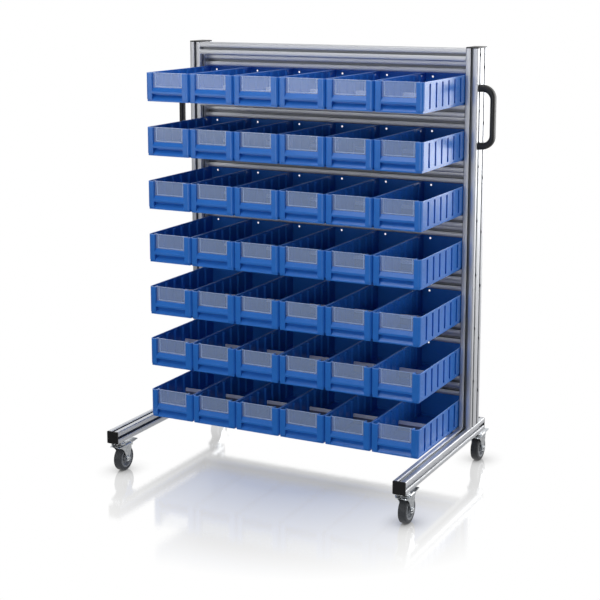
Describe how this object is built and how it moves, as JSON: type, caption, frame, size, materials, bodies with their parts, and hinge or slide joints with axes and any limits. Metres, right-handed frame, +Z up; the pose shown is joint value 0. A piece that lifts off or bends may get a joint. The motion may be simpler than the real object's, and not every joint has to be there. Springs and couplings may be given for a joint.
{
  "type": "storage box trolley",
  "caption": "Rolling rack of slotted aluminium section with rows of pull-out open storage boxes held at their rear ends, on braked swivel castors.",
  "frame": {"origin": "on the floor under the middle of the trolley's bounding box", "axes": "+X to the right seen from the front, box fronts face -Y, +Z up"},
  "size_m": [1.1208, 0.724, 1.344],
  "materials": {
    "blue_polypropylene": "moulded polypropylene, satin",
    "clear_pane": "clear moulded plastic",
    "divider_plastic": "grey moulded plastic",
    "anodised_aluminium": "extruded, natural anodised, satin",
    "black_plastic": "moulded black plastic",
    "zinc_steel": "pressed steel, bright zinc plated",
    "tyre_rubber": "dark grey rubber tyre",
    "hub_plastic": "grey moulded plastic"
  },
  "bodies": {
    "frame": {"base_beams": "anodised_aluminium", "posts": "anodised_aluminium", "cross_rails": "anodised_aluminium", "end_caps": "black_plastic", "handles": "black_plastic", "castor_heads": "zinc_steel"},
    "fork_front_left": {"castor_fork_front_left": "zinc_steel"},
    "wheel_front_left": {"castor_wheel_front_left": "tyre_rubber"},
    "pedal_front_left": {"brake_pedal_front_left": "zinc_steel"},
    "fork_front_right": {"castor_fork_front_right": "zinc_steel"},
    "wheel_front_right": {"castor_wheel_front_right": "tyre_rubber"},
    "pedal_front_right": {"brake_pedal_front_right": "zinc_steel"},
    "fork_rear_left": {"castor_fork_rear_left": "zinc_steel"},
    "wheel_rear_left": {"castor_wheel_rear_left": "tyre_rubber"},
    "pedal_rear_left": {"brake_pedal_rear_left": "zinc_steel"},
    "fork_rear_right": {"castor_fork_rear_right": "zinc_steel"},
    "wheel_rear_right": {"castor_wheel_rear_right": "tyre_rubber"},
    "pedal_rear_right": {"brake_pedal_rear_right": "zinc_steel"},
    "box_row1_col1": {"box_row1_col1": "blue_polypropylene"},
    "box_row1_col2": {"box_row1_col2": "blue_polypropylene"},
    "box_row1_col3": {"box_row1_col3": "blue_polypropylene"},
    "box_row1_col4": {"box_row1_col4": "blue_polypropylene"},
    "box_row1_col5": {"box_row1_col5": "blue_polypropylene"},
    "box_row1_col6": {"box_row1_col6": "blue_polypropylene"},
    "box_row2_col1": {"box_row2_col1": "blue_polypropylene"},
    "box_row2_col2": {"box_row2_col2": "blue_polypropylene"},
    "box_row2_col3": {"box_row2_col3": "blue_polypropylene"},
    "box_row2_col4": {"box_row2_col4": "blue_polypropylene"},
    "box_row2_col5": {"box_row2_col5": "blue_polypropylene"},
    "box_row2_col6": {"box_row2_col6": "blue_polypropylene"},
    "box_row3_col1": {"box_row3_col1": "blue_polypropylene"},
    "box_row3_col2": {"box_row3_col2": "blue_polypropylene"},
    "box_row3_col3": {"box_row3_col3": "blue_polypropylene"},
    "box_row3_col4": {"box_row3_col4": "blue_polypropylene"},
    "box_row3_col5": {"box_row3_col5": "blue_polypropylene"},
    "box_row3_col6": {"box_row3_col6": "blue_polypropylene"},
    "box_row4_col1": {"box_row4_col1": "blue_polypropylene"},
    "box_row4_col2": {"box_row4_col2": "blue_polypropylene"},
    "box_row4_col3": {"box_row4_col3": "blue_polypropylene"},
    "box_row4_col4": {"box_row4_col4": "blue_polypropylene"},
    "box_row4_col5": {"box_row4_col5": "blue_polypropylene"},
    "box_row4_col6": {"box_row4_col6": "blue_polypropylene"},
    "box_row5_col1": {"box_row5_col1": "blue_polypropylene"},
    "box_row5_col2": {"box_row5_col2": "blue_polypropylene"},
    "box_row5_col3": {"box_row5_col3": "blue_polypropylene"},
    "box_row5_col4": {"box_row5_col4": "blue_polypropylene"},
    "box_row5_col5": {"box_row5_col5": "blue_polypropylene"},
    "box_row5_col6": {"box_row5_col6": "blue_polypropylene"},
    "box_row6_col1": {"box_row6_col1": "blue_polypropylene"},
    "box_row6_col2": {"box_row6_col2": "blue_polypropylene"},
    "box_row6_col3": {"box_row6_col3": "blue_polypropylene"},
    "box_row6_col4": {"box_row6_col4": "blue_polypropylene"},
    "box_row6_col5": {"box_row6_col5": "blue_polypropylene"},
    "box_row6_col6": {"box_row6_col6": "blue_polypropylene"},
    "box_row7_col1": {"box_row7_col1": "blue_polypropylene"},
    "box_row7_col2": {"box_row7_col2": "blue_polypropylene"},
    "box_row7_col3": {"box_row7_col3": "blue_polypropylene"},
    "box_row7_col4": {"box_row7_col4": "blue_polypropylene"},
    "box_row7_col5": {"box_row7_col5": "blue_polypropylene"},
    "box_row7_col6": {"box_row7_col6": "blue_polypropylene"}
  },
  "joints": [
    {"name": "swivel_front_left", "type": "hinge", "parent": "frame", "child": "fork_front_left", "pos_m": [-0.4884, -0.33, 0], "axis": [0, 0, 1], "continuous": true},
    {"name": "spin_front_left", "type": "hinge", "parent": "fork_front_left", "child": "wheel_front_left", "pos_m": [-0.4884, -0.302, 0.04], "axis": [1, 0, 0], "continuous": true},
    {"name": "brake_front_left", "type": "hinge", "parent": "fork_front_left", "child": "pedal_front_left", "pos_m": [-0.4884, -0.288, 0.08232], "axis": [-1, 0, 0], "range_deg": [0, 12]},
    {"name": "swivel_front_right", "type": "hinge", "parent": "frame", "child": "fork_front_right", "pos_m": [0.4884, -0.33, 0], "axis": [0, 0, 1], "continuous": true},
    {"name": "spin_front_right", "type": "hinge", "parent": "fork_front_right", "child": "wheel_front_right", "pos_m": [0.4884, -0.302, 0.04], "axis": [1, 0, 0], "continuous": true},
    {"name": "brake_front_right", "type": "hinge", "parent": "fork_front_right", "child": "pedal_front_right", "pos_m": [0.4884, -0.288, 0.08232], "axis": [-1, 0, 0], "range_deg": [0, 12]},
    {"name": "swivel_rear_left", "type": "hinge", "parent": "frame", "child": "fork_rear_left", "pos_m": [-0.4884, 0.274, 0], "axis": [0, 0, 1], "continuous": true},
    {"name": "spin_rear_left", "type": "hinge", "parent": "fork_rear_left", "child": "wheel_rear_left", "pos_m": [-0.4884, 0.302, 0.04], "axis": [1, 0, 0], "continuous": true},
    {"name": "brake_rear_left", "type": "hinge", "parent": "fork_rear_left", "child": "pedal_rear_left", "pos_m": [-0.4884, 0.316, 0.08232], "axis": [-1, 0, 0], "range_deg": [0, 12]},
    {"name": "swivel_rear_right", "type": "hinge", "parent": "frame", "child": "fork_rear_right", "pos_m": [0.4884, 0.274, 0], "axis": [0, 0, 1], "continuous": true},
    {"name": "spin_rear_right", "type": "hinge", "parent": "fork_rear_right", "child": "wheel_rear_right", "pos_m": [0.4884, 0.302, 0.04], "axis": [1, 0, 0], "continuous": true},
    {"name": "brake_rear_right", "type": "hinge", "parent": "fork_rear_right", "child": "pedal_rear_right", "pos_m": [0.4884, 0.316, 0.08232], "axis": [-1, 0, 0], "range_deg": [0, 12]},
    {"name": "pull_row1_col1", "type": "slide", "parent": "frame", "child": "box_row1_col1", "axis": [0, -1, 0], "range_m": [0, 0.42]},
    {"name": "pull_row1_col2", "type": "slide", "parent": "frame", "child": "box_row1_col2", "axis": [0, -1, 0], "range_m": [0, 0.42]},
    {"name": "pull_row1_col3", "type": "slide", "parent": "frame", "child": "box_row1_col3", "axis": [0, -1, 0], "range_m": [0, 0.42]},
    {"name": "pull_row1_col4", "type": "slide", "parent": "frame", "child": "box_row1_col4", "axis": [0, -1, 0], "range_m": [0, 0.42]},
    {"name": "pull_row1_col5", "type": "slide", "parent": "frame", "child": "box_row1_col5", "axis": [0, -1, 0], "range_m": [0, 0.42]},
    {"name": "pull_row1_col6", "type": "slide", "parent": "frame", "child": "box_row1_col6", "axis": [0, -1, 0], "range_m": [0, 0.42]},
    {"name": "pull_row2_col1", "type": "slide", "parent": "frame", "child": "box_row2_col1", "axis": [0, -1, 0], "range_m": [0, 0.42]},
    {"name": "pull_row2_col2", "type": "slide", "parent": "frame", "child": "box_row2_col2", "axis": [0, -1, 0], "range_m": [0, 0.42]},
    {"name": "pull_row2_col3", "type": "slide", "parent": "frame", "child": "box_row2_col3", "axis": [0, -1, 0], "range_m": [0, 0.42]},
    {"name": "pull_row2_col4", "type": "slide", "parent": "frame", "child": "box_row2_col4", "axis": [0, -1, 0], "range_m": [0, 0.42]},
    {"name": "pull_row2_col5", "type": "slide", "parent": "frame", "child": "box_row2_col5", "axis": [0, -1, 0], "range_m": [0, 0.42]},
    {"name": "pull_row2_col6", "type": "slide", "parent": "frame", "child": "box_row2_col6", "axis": [0, -1, 0], "range_m": [0, 0.42]},
    {"name": "pull_row3_col1", "type": "slide", "parent": "frame", "child": "box_row3_col1", "axis": [0, -1, 0], "range_m": [0, 0.42]},
    {"name": "pull_row3_col2", "type": "slide", "parent": "frame", "child": "box_row3_col2", "axis": [0, -1, 0], "range_m": [0, 0.42]},
    {"name": "pull_row3_col3", "type": "slide", "parent": "frame", "child": "box_row3_col3", "axis": [0, -1, 0], "range_m": [0, 0.42]},
    {"name": "pull_row3_col4", "type": "slide", "parent": "frame", "child": "box_row3_col4", "axis": [0, -1, 0], "range_m": [0, 0.42]},
    {"name": "pull_row3_col5", "type": "slide", "parent": "frame", "child": "box_row3_col5", "axis": [0, -1, 0], "range_m": [0, 0.42]},
    {"name": "pull_row3_col6", "type": "slide", "parent": "frame", "child": "box_row3_col6", "axis": [0, -1, 0], "range_m": [0, 0.42]},
    {"name": "pull_row4_col1", "type": "slide", "parent": "frame", "child": "box_row4_col1", "axis": [0, -1, 0], "range_m": [0, 0.42]},
    {"name": "pull_row4_col2", "type": "slide", "parent": "frame", "child": "box_row4_col2", "axis": [0, -1, 0], "range_m": [0, 0.42]},
    {"name": "pull_row4_col3", "type": "slide", "parent": "frame", "child": "box_row4_col3", "axis": [0, -1, 0], "range_m": [0, 0.42]},
    {"name": "pull_row4_col4", "type": "slide", "parent": "frame", "child": "box_row4_col4", "axis": [0, -1, 0], "range_m": [0, 0.42]},
    {"name": "pull_row4_col5", "type": "slide", "parent": "frame", "child": "box_row4_col5", "axis": [0, -1, 0], "range_m": [0, 0.42]},
    {"name": "pull_row4_col6", "type": "slide", "parent": "frame", "child": "box_row4_col6", "axis": [0, -1, 0], "range_m": [0, 0.42]},
    {"name": "pull_row5_col1", "type": "slide", "parent": "frame", "child": "box_row5_col1", "axis": [0, -1, 0], "range_m": [0, 0.42]},
    {"name": "pull_row5_col2", "type": "slide", "parent": "frame", "child": "box_row5_col2", "axis": [0, -1, 0], "range_m": [0, 0.42]},
    {"name": "pull_row5_col3", "type": "slide", "parent": "frame", "child": "box_row5_col3", "axis": [0, -1, 0], "range_m": [0, 0.42]},
    {"name": "pull_row5_col4", "type": "slide", "parent": "frame", "child": "box_row5_col4", "axis": [0, -1, 0], "range_m": [0, 0.42]},
    {"name": "pull_row5_col5", "type": "slide", "parent": "frame", "child": "box_row5_col5", "axis": [0, -1, 0], "range_m": [0, 0.42]},
    {"name": "pull_row5_col6", "type": "slide", "parent": "frame", "child": "box_row5_col6", "axis": [0, -1, 0], "range_m": [0, 0.42]},
    {"name": "pull_row6_col1", "type": "slide", "parent": "frame", "child": "box_row6_col1", "axis": [0, -1, 0], "range_m": [0, 0.42]},
    {"name": "pull_row6_col2", "type": "slide", "parent": "frame", "child": "box_row6_col2", "axis": [0, -1, 0], "range_m": [0, 0.42]},
    {"name": "pull_row6_col3", "type": "slide", "parent": "frame", "child": "box_row6_col3", "axis": [0, -1, 0], "range_m": [0, 0.42]},
    {"name": "pull_row6_col4", "type": "slide", "parent": "frame", "child": "box_row6_col4", "axis": [0, -1, 0], "range_m": [0, 0.42]},
    {"name": "pull_row6_col5", "type": "slide", "parent": "frame", "child": "box_row6_col5", "axis": [0, -1, 0], "range_m": [0, 0.42]},
    {"name": "pull_row6_col6", "type": "slide", "parent": "frame", "child": "box_row6_col6", "axis": [0, -1, 0], "range_m": [0, 0.42]},
    {"name": "pull_row7_col1", "type": "slide", "parent": "frame", "child": "box_row7_col1", "axis": [0, -1, 0], "range_m": [0, 0.42]},
    {"name": "pull_row7_col2", "type": "slide", "parent": "frame", "child": "box_row7_col2", "axis": [0, -1, 0], "range_m": [0, 0.42]},
    {"name": "pull_row7_col3", "type": "slide", "parent": "frame", "child": "box_row7_col3", "axis": [0, -1, 0], "range_m": [0, 0.42]},
    {"name": "pull_row7_col4", "type": "slide", "parent": "frame", "child": "box_row7_col4", "axis": [0, -1, 0], "range_m": [0, 0.42]},
    {"name": "pull_row7_col5", "type": "slide", "parent": "frame", "child": "box_row7_col5", "axis": [0, -1, 0], "range_m": [0, 0.42]},
    {"name": "pull_row7_col6", "type": "slide", "parent": "frame", "child": "box_row7_col6", "axis": [0, -1, 0], "range_m": [0, 0.42]}
  ]
}
